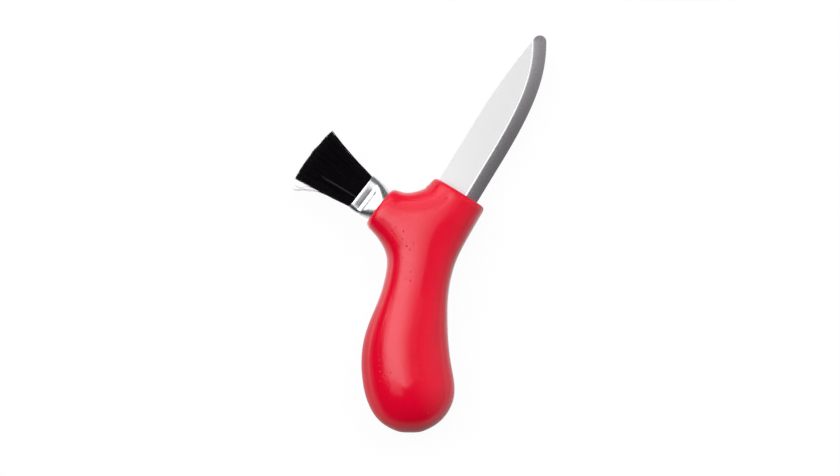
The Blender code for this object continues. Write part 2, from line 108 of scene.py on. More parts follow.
# Ferrule
FERRULE_RADIUS = 0.00735
FERRULE_WALL = 0.0004
FERRULE_SEAT = 0.0100  # how deep it sits in the arm
FERRULE_REACH = 0.0090  # how far it stands out
ROUND_END = 0.0015  # how far inside the handle the tube stops being round
FLAT_START = 0.0057  # how far outside it the tube has its full flats
MOUTH_WIDTH = 0.0167
MOUTH_DEPTH = 0.0077
MOUTH_CORNER = 0.0028
FLAT_CROWN = 0.00016  # how far the flats bulge in their middle
GROOVE_START = 0.0038
GROOVE_BOTTOM = 0.0046
GROOVE_END = 0.0081
GROOVE_DEPTH = 0.00045
GROOVE_ENDS = (-0.0066, 0.0052)  # where the groove has run out, left and right of the flats' middle
GROOVE_FADES = (0.0020, 0.0036)
GROOVE_SIDE_SHARE = 0.3  # how much of the groove's depth presses the rounded sides
TUBE_ASIDE = -0.0003  # how far the tube stands to the left in its hole
MOUTH_ASIDE = -0.0001
LIP_ROUNDING = 0.00015

# Brush
SLICE_THICKNESS = 0.0012  # of the resin that the hairs are set in
SLICE_SETBACK = 0.0053  # from the ferrule's mouth
BRISTLE_LENGTH = 0.0247
END_CROWN = 0.0009  # how much shorter the tuft's two sides are than its middle
TUFT_WIDTH = 0.0150
TUFT_DEPTH = 0.0060
FAN_WIDTH = 0.0242  # of the tuft at its end
FAN_DEPTH = 0.0108
HAIR_SPACING = 0.000105  # of the spiral that the hairs stand on
HAIR_RADIUS = 0.000085
RADIUS_SHARES = (0.8, 1.2)  # of the thinnest and the thickest hairs
HAIR_SAMPLES = 10
HAIR_STRAY = 0.00022  # how far single hairs stray sideways
HAIR_UNEVEN = 0.00035  # how far they end short or long
LOCK_SIZE = 0.0035  # of the locks in which the hairs lie together
LOCK_STRAY = 0.0007
LOOSE_RADIUS = 0.00008
SHEEN_RADIUS = 1.3 * LOOSE_RADIUS
EDGE_PULL = 0.0005  # how far the tuft's right edge is drawn in, about halfway along
PULL_POWER = 1.25
# Loose hairs as (across, along, up) from the middle of the arm's face: four outside the tuft, three on top
# with a painted sheen
LOOSE_HAIRS = (
    (
        (-0.0090, 0.0171, 0.0010),
        (-0.0098, 0.0200, 0.0010),
        (-0.0107, 0.0228, 0.0008),
        (-0.0116, 0.0257, 0.0006),
        (-0.0134, 0.0273, 0.0006),
        (-0.0150, 0.0291, 0.0005),
        (-0.0158, 0.0313, 0.0005),
    ),
    (
        (-0.0086, 0.0159, 0.0003),
        (-0.0096, 0.0191, 0.0002),
        (-0.0104, 0.0225, 0.0000),
        (-0.0117, 0.0246, -0.0001),
        (-0.0127, 0.0269, -0.0001),
        (-0.0142, 0.0287, -0.0002),
        (-0.0158, 0.0303, -0.0002),
    ),
    (
        (-0.0091, 0.0180, -0.0005),
        (-0.0099, 0.0214, -0.0007),
        (-0.0112, 0.0240, -0.0008),
        (-0.0129, 0.0262, -0.0009),
        (-0.0135, 0.0283, -0.0009),
        (-0.0149, 0.0297, -0.0009),
    ),
    (
        (-0.0106, 0.0249, 0.0004),
        (-0.0116, 0.0272, 0.0006),
        (-0.0135, 0.0290, 0.0006),
        (-0.0142, 0.0313, 0.0005),
    ),
)
SHEEN_HAIRS = (
    (
        (-0.0029, 0.0090, 0.0030),
        (-0.0033, 0.0130, 0.0036),
        (-0.0040, 0.0190, 0.0042),
        (-0.0046, 0.0252, 0.0048),
    ),
    (
        (-0.0030, 0.0090, 0.0031),
        (-0.0035, 0.0132, 0.0037),
        (-0.0042, 0.0188, 0.0043),
        (-0.0050, 0.0240, 0.0048),
    ),
    (
        (-0.0027, 0.0090, 0.0030),
        (-0.0031, 0.0128, 0.0036),
        (-0.0037, 0.0180, 0.0042),
        (-0.0043, 0.0225, 0.0046),
    ),
)

# Picture
PICTURE_WIDTH = 0.336  # metres that the picture spans at the blade's height
PICTURE_FROM_FORK = (-0.00264, 0.00217)  # from the fork to the picture's middle
CAMERA_HEIGHT = 1.60

# Shares of the handle's sizes, as in the solids. The grip's sections from the fork to the butt are
# (along, bow to the left, swell from waist to bulb, closing towards the butt)
GRIP_SHARES = (
    (0.145, 0.078, 0.081, 1.000),
    (0.289, 0.145, 0.166, 1.000),
    (0.407, 0.202, 0.561, 1.000),
    (0.533, 0.243, 0.872, 1.000),
    (0.666, 0.227, 1.042, 1.000),
    (0.809, 0.178, 1.030, 1.033),
    (0.940, 0.184, 1.000, 0.768),
    (0.992, 0.186, 1.000, 0.381),
)
BUTT_CROWN_SHARE = 0.022
EDGE_SIDE_SHARES = (0.144, 1.031)
BRUSH_SIDE_SHARES = (0.407, 1.270)
SADDLE_TURN_SHARE = 0.635
ARM_SADDLE_SHARES = (0.775, 1.100)
ARM_EDGE_SHARES = (0.462, 1.031)
ARM_DEPTH_SHARE = 0.70
BLADE_ARM_POWER = 2.3
BRUSH_ARM_POWER = 3.0
WAIST_POWER = 3.0
BULB_POWER = 2.1
HALF_STEPS = 6
BELLY_FULLNESS_SHARE = 0.75
SPINE_FULLNESS_SHARE = 0.67
TUFT_POWER = 2.6
SUBDIVISIONS = 4  # of the handle's cage
BELLY_STEPS = 48
SPINE_STEPS = 32
TIP_STEPS = 28
CORNER_STEPS = 16
FLAT_STEPS = 24
FERRULE_STEPS = 90
SOCKET_STEPS = 8
LIP_STEPS = 4


def mix(start, end, share):
    """A value between two, by a share from 0 to 1."""
    return start + (end - start) * share


def on_line(lean, along, across):
    """A plan point along a line from the fork that leans from +Y towards +X, and to that line's right."""
    right = Vector((math.cos(lean), -math.sin(lean), 0))
    ahead = Vector((math.sin(lean), math.cos(lean), 0))
    return ahead * along + right * across


def fork_place():
    """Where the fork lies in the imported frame, found from the box of the blade's rounded tip."""
    low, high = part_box("blade")
    along = BLADE_ARM_REACH + BLADE_LENGTH - TIP_RADIUS
    tip = on_line(BLADE_LEAN, along, BLADE_SHIFT - TIP_OFFSET)
    return Vector((high.x - TIP_RADIUS, high.y - TIP_RADIUS, (low.z + high.z) / 2)) - tip


FORK = fork_place()


def seat(lean, along, across):
    """The place of a piece that stands in an arm: +Y out of the arm, +X to its right."""
    return Matrix.Translation(FORK + on_line(lean, along, across)) @ Matrix.Rotation(-lean, 4, "Z")


BLADE_PLACE = seat(BLADE_LEAN, BLADE_ARM_REACH, BLADE_SHIFT)
BRUSH_PLACE = seat(-BRUSH_LEAN, BRUSH_ARM_REACH, BRUSH_SHIFT)


# Mesh helpers


def new_object(name, bm, place, sharp=35):
    """The bmesh, moved to its place, as an object that faces out and is smooth but for its sharp edges."""
    bmesh.ops.recalc_face_normals(bm, faces=bm.faces)
    mesh = bpy.data.meshes.new(name)
    bm.to_mesh(mesh)
    bm.free()
    mesh.transform(place)
    mesh.shade_smooth()
    mesh.set_sharp_from_angle(angle=math.radians(sharp))
    made = bpy.data.objects.new(name, mesh)
    bpy.context.scene.collection.objects.link(made)
    return made


def apply_modifiers(obj, sharp=35):
    """Gives the object its modified mesh for good."""
    bpy.context.view_layer.update()
    graph = bpy.context.evaluated_depsgraph_get()
    mesh = bpy.data.meshes.new_from_object(obj.evaluated_get(graph))
    obj.modifiers.clear()
    obj.data = mesh
    mesh.shade_smooth()
    mesh.set_sharp_from_angle(angle=math.radians(sharp))


def subtract(target, bm, place):
    """Takes the bmesh's shape from the target."""
    tool = new_object("tool", bm, place)
    modifier = target.modifiers.new("cut", "BOOLEAN")
    modifier.operation = "DIFFERENCE"
    modifier.object = tool
    modifier.solver = "EXACT"
    apply_modifiers(target)
    bpy.data.objects.remove(tool)


def box(low, high):
    """A box as a bmesh, from its lowest and highest corners."""
    bm = bmesh.new()
    bmesh.ops.create_cube(bm, size=1)
    size = Vector(high) - Vector(low)
    for vert in bm.verts:
        vert.co = Vector(low) + size / 2 + Vector(vert.co[i] * size[i] for i in range(3))
    return bm


def loft(bm, rings, closed=False):
    """Faces between each ring of vertices and the next, and back to the first where closed."""
    following = rings[1:] + rings[:1] if closed else rings[1:]
    for ring, other in zip(rings, following):
        for i, vert in enumerate(ring):
            j = (i + 1) % len(ring)
            bm.faces.new((vert, ring[j], other[j], other[i]))


def finish_piece(obj, slot, finish, *nodes):
    """Puts a piece in the model: its material and the solids that it replaces. The slot argument is not
    used.
    """
    obj.data.materials.clear()
    obj.data.materials.append(finish)
    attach(obj, "root")
    if nodes:
        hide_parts(*nodes)


# Shader helpers


class Nodes:
    """A node tree that is filled from code."""

    def __init__(self, tree, coordinates="Object", lean=0.0):
        self.tree = tree
        own = tree.nodes.new("ShaderNodeTexCoord").outputs[coordinates]
        turn = {"Vector": own, "Rotation": (0.0, 0.0, lean)}
        self.coordinates = self.add("ShaderNodeMapping", turn).outputs[0]

    def feed(self, socket, value):
        if isinstance(value, bpy.types.NodeSocket):
            self.tree.links.new(value, socket)
        elif isinstance(value, tuple) and socket.type == "RGBA":
            socket.default_value = (*value, 1.0)
        else:
            socket.default_value = value

    def add(self, kind, inputs):
        made = self.tree.nodes.new(kind)
        for name, value in inputs.items():
            self.feed(made.inputs[name], value)
        return made

    def stretched(self, scale):
        """The coordinates multiplied along each axis, for streaks."""
        return self.add("ShaderNodeMapping", {"Vector": self.coordinates, "Scale": scale}).outputs[0]

    def noise(self, size, detail=2.0, vector=None):
        """Noise from 0 to 1 whose features are about size metres across."""
        inputs = {"Vector": vector or self.coordinates, "Scale": 1 / size, "Detail": detail}
        return self.add("ShaderNodeTexNoise", inputs).outputs["Fac"]

    def dots(self, size, radius_share, chance):
        """Round dots in some of the cells of a grid of size metres: 1 in a dot and 0 elsewhere."""
        cells = self.add("ShaderNodeTexVoronoi", {"Vector": self.coordinates, "Scale": 1 / size})
        dot = self.spread(cells.outputs["Distance"], radius_share, 0)
        pick = self.add("ShaderNodeSeparateColor", {"Color": cells.outputs["Color"]}).outputs[0]
        return self.calculate("MULTIPLY", dot, self.spread(pick, chance, chance - 0.02))

    def spread(self, value, low, high, to_low=0.0, to_high=1.0):
        """The value's range from low to high, made the range from to_low to to_high."""
        limits = {"From Min": low, "From Max": high, "To Min": to_low, "To Max": to_high}
        return self.add("ShaderNodeMapRange", {"Value": value, **limits}).outputs[0]

    def around(self, stops):
        """A value that depends on the direction from the origin, in the plan."""
        turn = self.add("ShaderNodeTexGradient", {"Vector": self.coordinates})
        turn.gradient_type = "RADIAL"
        curve = self.add("ShaderNodeFloatCurve", {"Value": turn.outputs["Fac"]})
        points = curve.mapping.curves[0].points
        top = max(value for _, value in stops)
        while len(points) < len(stops):
            points.new(0.5, 0.5)
        for point, (place, value) in zip(points, stops):
            point.location = (place, value / top)
        curve.mapping.update()
        return self.calculate("MULTIPLY", curve.outputs[0], top)

    def calculate(self, operation, first, second):
        made = self.tree.nodes.new("ShaderNodeMath")
        made.operation = operation
        self.feed(made.inputs[0], first)
        self.feed(made.inputs[1], second)
        return made.outputs[0]

    def blend(self, factor, first, second):
        """A colour between two, by a factor."""
        made = self.tree.nodes.new("ShaderNodeMix")
        made.data_type = "RGBA"
        self.feed(made.inputs[0], factor)
        self.feed(made.inputs[6], first)
        self.feed(made.inputs[7], second)
        return made.outputs[2]

    def bump(self, height, depth, under=None):
        """A bump whose full height is depth metres, on top of another."""
        made = self.add("ShaderNodeBump", {"Height": height, "Distance": depth, "Strength": 1.0})
        if under is not None:
            self.feed(made.inputs["Normal"], under)
        return made.outputs[0]

    def switch(self, factor, first, second):
        """A shader between two, by a factor."""
        return self.add("ShaderNodeMixShader", {0: factor, 1: first, 2: second}).outputs[0]

    def glow(self, kind, strength):
        """An even white emission, as light or as background."""
        return self.add(kind, {"Color": (1.0, 1.0, 1.0), "Strength": strength}).outputs[0]


class Finish(Nodes):
    """A Principled material whose inputs procedural nodes feed, with Y along a line that leans."""

    def __init__(self, name, constants, lean=0.0):
        self.material = bpy.data.materials.new(name)
        self.material.use_nodes = True
        super().__init__(self.material.node_tree, "Object", lean)
        self.shader = self.tree.nodes["Principled BSDF"]
        self.set(constants)

    def set(self, inputs):
        for name, value in inputs.items():
            self.feed(self.shader.inputs[name], value)
        return self.material


# Materials


def red_lacquer():
    finish = Finish("red_lacquer", {})
    cloud = finish.noise(0.014, 3)
    peel = finish.bump(finish.noise(0.0011, 2), 0.000018)
    ripple = finish.bump(finish.noise(0.0042, 1), 0.00004, peel)
    rough_spots = finish.spread(finish.noise(0.012, 1), 0.48, 0.60)
    # the pits are bumped in, and their red is darkened as painted shade inside them
    pits_and_pit_shade = finish.calculate("MULTIPLY", finish.dots(0.0015, 0.24, 0.55), rough_spots)
    red = finish.blend(cloud, (0.84, 0.001, 0.027), (0.92, 0.003, 0.033))
    return finish.set(
        {
            # painted shade: darker red inside the pits
            "Base Color": finish.blend(pits_and_pit_shade, red, (0.50, 0.001, 0.015)),
            "Roughness": finish.spread(finish.noise(0.006, 3), 0.3, 0.7, 0.12, 0.16),
            "Normal": finish.bump(pits_and_pit_shade, -0.00012, ripple),
        }
    )


def blade_steel():
    finish = Finish("stainless_steel", {"Metallic": 0.85}, BLADE_LEAN)
    grain = finish.noise(0.00016, 2, finish.stretched((1.0, 0.015, 1.0)))
    cloud = finish.noise(0.02, 2)
    return finish.set(
        {
            "Base Color": finish.blend(cloud, (0.725, 0.725, 0.73), (0.76, 0.76, 0.765)),
            "Roughness": finish.spread(grain, 0.3, 0.7, 0.28, 0.33),
            "Normal": finish.bump(grain, 0.0000003),
        }
    )


def bevel_steel():
    """The ground bevel: fine marks that run across it, from the shoulder to the edge. Towards the tip its
    colour is painted lighter, as a painted reflection.
    """
    finish = Finish("ground_bevel", {"Metallic": 1.0}, BLADE_LEAN)
    marks = finish.noise(0.00016, 3, finish.stretched((0.03, 1.0, 1.0)))
    cloud = finish.blend(finish.noise(0.008, 2), (0.53, 0.50, 0.54), (0.58, 0.55, 0.58))
    along = finish.add("ShaderNodeSeparateXYZ", {"Vector": finish.coordinates}).outputs["Y"]
    fork = FORK.dot(on_line(BLADE_LEAN, 1, 0))
    # painted reflection: the bevel's colour grows lighter from here towards the tip
    tip_light_share = finish.spread(along, fork + TIP_LIGHT_START, fork + BLADE_ARM_REACH + BLADE_LENGTH)
    return finish.set(
        {
            "Base Color": finish.blend(tip_light_share, cloud, (0.78, 0.74, 0.79)),
            "Roughness": finish.spread(marks, 0.3, 0.7, 0.24, 0.32),
            "Normal": finish.bump(marks, 0.0000003),
        }
    )


def shoulder_highlight_steel():
    """The line along the bevel's shoulder, painted lighter and glossier than the flat as a painted
    highlight.
    """
    finish = Finish("painted_shoulder_highlight", {"Metallic": 1.0}, BLADE_LEAN)
    highlight_cloud = finish.noise(0.003, 3)
    return finish.set(
        {
            "Base Color": finish.blend(highlight_cloud, (0.86, 0.86, 0.865), (0.93, 0.93, 0.93)),
            "Roughness": finish.spread(highlight_cloud, 0.3, 0.7, 0.10, 0.16),
        }
    )


def tinned_steel():
    finish = Finish("tinned_steel", {"Metallic": 1.0}, -BRUSH_LEAN)
    dents = finish.bump(finish.noise(0.0022, 2), 0.00002)
    scratches = finish.noise(0.00025, 2, finish.stretched((0.05, 1.0, 0.05)))
    return finish.set(
        {
            "Base Color": finish.blend(finish.noise(0.004, 3), (0.80, 0.82, 0.84), (0.90, 0.91, 0.92)),
            "Roughness": finish.spread(scratches, 0.3, 0.7, 0.24, 0.32),
            "Normal": finish.bump(scratches, 0.000002, dents),
        }
    )


def black_hair():
    finish = Finish("black_bristle", {"Specular IOR Level": 0.18}, -BRUSH_LEAN)
    streak = finish.noise(0.0006, 2, finish.stretched((1.0, 0.12, 1.0)))
    return finish.set(
        {
            "Base Color": finish.blend(streak, (0.0012, 0.0006, 0.0015), (0.003, 0.0018, 0.003)),
            "Roughness": finish.spread(streak, 0.3, 0.7, 0.42, 0.60),
        }
    )


def sheen_painted_hair():
    """A few hairs on top of the tuft, painted lighter as a painted sheen where they catch the light."""
    finish = Finish("painted_sheen_bristle", {}, -BRUSH_LEAN)
    streak = finish.noise(0.004, 2)
    return finish.set(
        {
            # painted sheen: these hairs are coloured lighter than the black tuft
            "Base Color": finish.blend(streak, (0.020, 0.018, 0.022), (0.050, 0.045, 0.052)),
            "Roughness": finish.spread(streak, 0.3, 0.7, 0.35, 0.5),
        }
    )


def hidden_glue(name, dark, light, size):
    """Cast resin or adhesive, with clouds and small bubbles."""
    finish = Finish(name, {"Roughness": 0.4})
    return finish.set(
        {
            "Base Color": finish.blend(finish.noise(size, 3), dark, light),
            "Normal": finish.bump(finish.dots(size / 3, 0.25, 0.5), -size / 60),
        }
    )


# Handle


def half_section(middle, rim, half_depth, squareness):
    """Points of the cage from a section's underside, round the rim of one side, to its top."""
    turn = math.pi / HALF_STEPS
    stand_out = 3 / (2 + math.cos(turn))
    power = 2 / squareness
    points = []
    for step in range(HALF_STEPS + 1):
        side, up = math.sin(step * turn), -math.cos(step * turn)
        side = abs(side) ** power * stand_out
        up = math.copysign(abs(up) ** power, up) * stand_out
        points.append(middle + (rim - middle) * side + Vector((0, 0, half_depth * up)))
    return points


def section(bm, left, right, half_depth, squareness):
    """A closed ring of vertices, from the underside up over the left rim and down over the right."""
    middle = (left + right) / 2
    up = half_section(middle, left, half_depth, squareness)
    down = half_section(middle, right, half_depth, squareness)[-2:0:-1]
    return [bm.verts.new(point) for point in up + down]


def close_end(bm, ring, crown):
    """Closes a ring with a grid of four by two faces, whose middle row is moved by crown."""
    row = []
    for top, under in ((5, 1), (6, 0), (7, 11)):
        row.append(bm.verts.new((ring[top].co + ring[under].co) / 2 + crown))
    above = ring[4:9]
    below = [ring[i] for i in (2, 1, 0, 11, 10)]
    between = [ring[3], *row, ring[9]]
    for i in range(4):
        bm.faces.new((above[i], above[i + 1], between[i + 1], between[i]))
        bm.faces.new((between[i], between[i + 1], below[i + 1], below[i]))


def arm_end(bm, lean, reach, middle, half_width, half_depth, side_rounding, squareness):
    """The last rings of an arm: its straight end, the rim of its flat face, and a ring on that face."""
    rings = []
    for setback, inset, sink in ((side_rounding, 0, 0), (0, 0, 0), (0, side_rounding, FACE_ROUNDING)):
        left = on_line(lean, reach - setback, middle - half_width + inset)
        right = on_line(lean, reach - setback, middle + half_width - inset)
        rings.append(section(bm, left, right, half_depth - sink, squareness))
    return rings


def grip_rings(bm):
    """The grip's sections, from the fork to the butt."""
    rings = []
    for along, bow, swell, closing in GRIP_SHARES:
        middle = Vector((-bow * BULB_WIDTH, -along * GRIP_LENGTH, 0))
        half = Vector((closing * mix(WAIST_WIDTH, BULB_WIDTH, swell) / 2, 0, 0))
        half_depth = closing * mix(WAIST_THICKNESS, BULB_THICKNESS, swell) / 2
        squareness = mix(WAIST_POWER, BULB_POWER, swell)
        rings.append(section(bm, middle - half, middle + half, half_depth, squareness))
    return rings


def blade_arm_rings(bm):
    half_width, reach = BLADE_ARM_WIDTH / 2, BLADE_ARM_REACH
    saddle_along, saddle_across = ARM_SADDLE_SHARES
    edge_along, edge_across = ARM_EDGE_SHARES
    left = on_line(BLADE_LEAN, saddle_along * reach, BLADE_ARM_OFFSET - saddle_across * half_width)
    right = on_line(BLADE_LEAN, edge_along * reach, BLADE_ARM_OFFSET + edge_across * half_width)
    depth = mix(BLADE_ARM_THICKNESS, FORK_THICKNESS, ARM_DEPTH_SHARE)
    root = section(bm, left, right, depth / 2, BLADE_ARM_POWER)
    middle, half_depth = BLADE_ARM_OFFSET, BLADE_ARM_THICKNESS / 2
    finish = (FACE_ROUNDING, BLADE_ARM_POWER)
    return [root, *arm_end(bm, BLADE_LEAN, reach, middle, half_width, half_depth, *finish)]


def brush_arm_rings(bm):
    half_width, half_depth = BRUSH_ARM_WIDTH / 2, BRUSH_ARM_THICKNESS / 2
    finish = (BRUSH_SIDE_ROUNDING, BRUSH_ARM_POWER)
    return arm_end(bm, -BRUSH_LEAN, BRUSH_ARM_REACH, 0, half_width, half_depth, *finish)


def fork_rims():
    """The plan points of the fork's three rims: edge side, brush side and saddle."""
    along, across = EDGE_SIDE_SHARES
    half = BLADE_ARM_WIDTH / 2
    edge_side = on_line(BLADE_LEAN, along * BLADE_ARM_REACH, BLADE_ARM_OFFSET + across * half)
    along, across = BRUSH_SIDE_SHARES
    half = BRUSH_ARM_WIDTH / 2
    brush_side = on_line(-BRUSH_LEAN, along * BRUSH_ARM_REACH, -across * half)
    saddle = on_line(mix(-BRUSH_LEAN, BLADE_LEAN, SADDLE_TURN_SHARE), SADDLE_REACH, 0)
    return edge_side, brush_side, saddle


def handle_cage():
    """The handle's subdivision cage: three tubes of twelve sides that share the fork's two poles."""
    bm = bmesh.new()
    rims = fork_rims()
    middle = sum(rims, Vector()) / len(rims)
    halves = [half_section(middle, rim, FORK_THICKNESS / 2, WAIST_POWER) for rim in rims]
    under, top = bm.verts.new(halves[0][0]), bm.verts.new(halves[0][-1])
    edge_side, brush_side, saddle = ([bm.verts.new(p) for p in half[1:-1]] for half in halves)
    branches = (
        (brush_side, edge_side, grip_rings(bm), Vector((0, -BUTT_CROWN_SHARE * GRIP_LENGTH, 0))),
        (saddle, edge_side, blade_arm_rings(bm), Vector()),
        (brush_side, saddle, brush_arm_rings(bm), Vector()),
    )
    for left, right, rings, crown in branches:
        loft(bm, [[under, *left, top, *reversed(right)], *rings])
        close_end(bm, rings[-1], crown)
    return bm


def hand_finish(mesh):
    """Lets the surface wander slightly, as one that was turned and sanded by hand does."""
    normals = [vert.normal.copy() for vert in mesh.vertices]
    for vert, normal in zip(mesh.vertices, normals):
        vert.co += normal * noise.noise(vert.co / WAVER_SIZE) * HAND_WAVER


def make_handle():
    handle = new_object("handle_lacquered", handle_cage(), Matrix.Translation(FORK))
    smooth = handle.modifiers.new("rounded", "SUBSURF")
    smooth.levels = smooth.render_levels = SUBDIVISIONS
    apply_modifiers(handle)
    hand_finish(handle.data)
    half_width, half_depth = BLADE_WIDTH / 2 + TIGHT_FIT, BLADE_THICKNESS / 2 + TIGHT_FIT
    slot = box((-half_width, -BLADE_SEAT - TIGHT_FIT, -half_depth), (half_width, OVERRUN, half_depth))
    subtract(handle, slot, BLADE_PLACE)
    wall = BEDDING_FIT + BEDDING_WALL + BEDDING_FIT
    half_width, half_depth = TANG_WIDTH / 2 + wall, BLADE_THICKNESS / 2 + wall
    end = -BLADE_SEAT - TANG_LENGTH - wall
    tang_hole = box((-half_width, end, -half_depth), (half_width, -BLADE_SEAT, half_depth))
    subtract(handle, tang_hole, BLADE_PLACE)
    subtract(handle, socket(), BRUSH_PLACE)
    finish_piece(handle, "red_lacquer", red_lacquer(), "handle")


def socket():
    """The hole that the ferrule sits in, which opens as the ferrule flattens."""
    bm = bmesh.new()
    stations = [-FERRULE_SEAT - SOCKET_FIT, *np.linspace(-ROUND_END, OVERRUN, SOCKET_STEPS)]
    rings = [ferrule_ring(bm, y, -SOCKET_FIT) for y in stations]
    loft(bm, rings)
    bm.faces.new(rings[0])
    bm.faces.new(rings[-1])
    bmesh.ops.remove_doubles(bm, verts=bm.verts, dist=MERGE_DISTANCE)
    return bm


# Blade, in its seat's frame


def curve(start, corner, end, fullness, steps):
    """A smooth curve between two tangents that meet at a corner, without its start."""
    start, corner, end = (Vector((*point, 0)) for point in (start, corner, end))
    handle_a, handle_b = mix(start, corner, fullness), mix(end, corner, fullness)
    points = interpolate_bezier(start, handle_a, handle_b, end, steps + 1)
    return [Vector((point.x, point.y)) for point in points[1:]]


def edge_line():
    """The cutting edge from the handle to where the tip's arc takes over."""
    x, y = -TIP_OFFSET, BLADE_LENGTH - TIP_RADIUS
    end = (x + TIP_RADIUS * math.cos(BELLY_SWEEP), y + TIP_RADIUS * math.sin(BELLY_SWEEP))
    half = BLADE_WIDTH / 2
    corner = (half, end[1] - (half - end[0]) / math.tan(BELLY_SWEEP))
    start = (half, STRAIGHT_EDGE)
    belly = curve(start, corner, end, BELLY_FULLNESS_SHARE, BELLY_STEPS)
    return [Vector((half, -BLADE_SEAT)), Vector(start), *belly]


def spine_line():
    """The spine from the handle to where the tip's arc starts."""
    x, y = -TIP_OFFSET, BLADE_LENGTH - TIP_RADIUS
    end = (x - TIP_RADIUS * math.cos(SPINE_DROP), y + TIP_RADIUS * math.sin(SPINE_DROP))
    half = BLADE_WIDTH / 2
    corner = (-half, end[1] - (half + end[0]) / math.tan(SPINE_DROP))
    start = (-half, STRAIGHT_SPINE)
    drop = curve(start, corner, end, SPINE_FULLNESS_SHARE, SPINE_STEPS)
    return [Vector((-half, -BLADE_SEAT)), Vector(start), *drop]


def tip_arc():
    """The rounded tip's points between the spine's end and the edge's."""
    points = []
    for step in range(1, TIP_STEPS):
        turn = mix(math.pi - SPINE_DROP, BELLY_SWEEP, step / TIP_STEPS)
        x = -TIP_OFFSET + TIP_RADIUS * math.cos(turn)
        points.append(Vector((x, BLADE_LENGTH - TIP_RADIUS + TIP_RADIUS * math.sin(turn))))
    return points


def tang_line():
    """The stick tang's outline, from the edge side to the spine side."""
    end = -BLADE_SEAT - TANG_LENGTH
    return [
        Vector((TANG_WIDTH / 2, -BLADE_SEAT)),
        Vector((TANG_END_WIDTH / 2, end)),
        Vector((-TANG_END_WIDTH / 2, end)),
        Vector((-TANG_WIDTH / 2, -BLADE_SEAT)),
    ]


def blade_blank():
    """The blade's outline, thickened to both sides of its middle plane."""
    outline = [*spine_line(), *tip_arc(), *reversed(edge_line()), *tang_line()]
    bm = bmesh.new()
    face = bm.faces.new([bm.verts.new((point.x, point.y, -BLADE_THICKNESS / 2)) for point in outline])
    raised = bmesh.ops.extrude_face_region(bm, geom=[face])["geom"]
    top = [item for item in raised if isinstance(item, bmesh.types.BMVert)]
    bmesh.ops.translate(bm, verts=top, vec=(0, 0, BLADE_THICKNESS))
    return bm


def grinder(side):
    """What grinding takes off one side of the blade: the bevel, and a shallow line along its shoulder that
    carries a painted highlight.
    """
    path = edge_line()
    path[0] = path[0] - (path[1] - path[0]).normalized() * OVERRUN
    ahead = (path[-1] - path[-2]).normalized()
    path.append(path[-1] + ahead * (2 * TIP_RADIUS + OVERRUN))
    rise = (BLADE_THICKNESS - EDGE_LAND) / 2 / BEVEL_WIDTH
    half, line = BLADE_THICKNESS / 2, -BEVEL_WIDTH - SHOULDER_WIDTH
    profile = (
        (line - 2 * SHOULDER_DIP, half + SHOULDER_DIP),
        (line, half - SHOULDER_DIP),
        (-BEVEL_WIDTH, half - SHOULDER_DIP / 20),
        (OVERRUN, EDGE_LAND / 2 - rise * OVERRUN),
        (OVERRUN, half + OVERRUN),
        (line - 2 * SHOULDER_DIP, half + OVERRUN),
    )
    bm = bmesh.new()
    rings = []
    for i, point in enumerate(path):
        before, after = path[max(i - 1, 0)], path[min(i + 1, len(path) - 1)]
        inner = (point - before).normalized() if i else (after - point).normalized()
        outer = (after - point).normalized() if i < len(path) - 1 else inner
        bisector = (inner + outer).normalized()
        out = Vector((bisector.y, -bisector.x)) / bisector.dot(inner)
        spots = [(point + out * across, up) for across, up in profile]
        rings.append([bm.verts.new((spot.x, spot.y, side * up)) for spot, up in spots])
    loft(bm, rings)
    bm.faces.new(rings[0])
    bm.faces.new(rings[-1])
    return bm


def paint_blade(blade):
    """Gives the bevel and its shoulder their own materials, by how far their faces tilt. The shoulder's
    material is a painted highlight.
    """
    blade.data.materials.append(bevel_steel())
    blade.data.materials.append(shoulder_highlight_steel())
    bevel = math.atan((BLADE_THICKNESS - EDGE_LAND) / 2 / BEVEL_WIDTH)
    least, most = (share * bevel for share in BEVEL_TILTS)
    for face in blade.data.polygons:
        tilt = math.acos(min(abs(face.normal.z), 1))
        if least < tilt < most:
            face.material_index = 1
        elif SHOULDER_TILT * bevel < tilt <= least:
            # painted highlight: the shoulder's faces get the lighter steel
            face.material_index = 2


def make_blade():
    blade = new_object("blade_ground", blade_blank(), BLADE_PLACE)
    for side in (1, -1):
        subtract(blade, grinder(side), BLADE_PLACE)
    finish_piece(blade, "stainless_steel", blade_steel(), "blade")
    paint_blade(blade)


# Ferrule and brush, in the brush seat's frame


def ease(share):
    """A share, held between 0 and 1 and made to start and end gently."""
    share = min(max(share, 0), 1)
    return share * share * (3 - 2 * share)


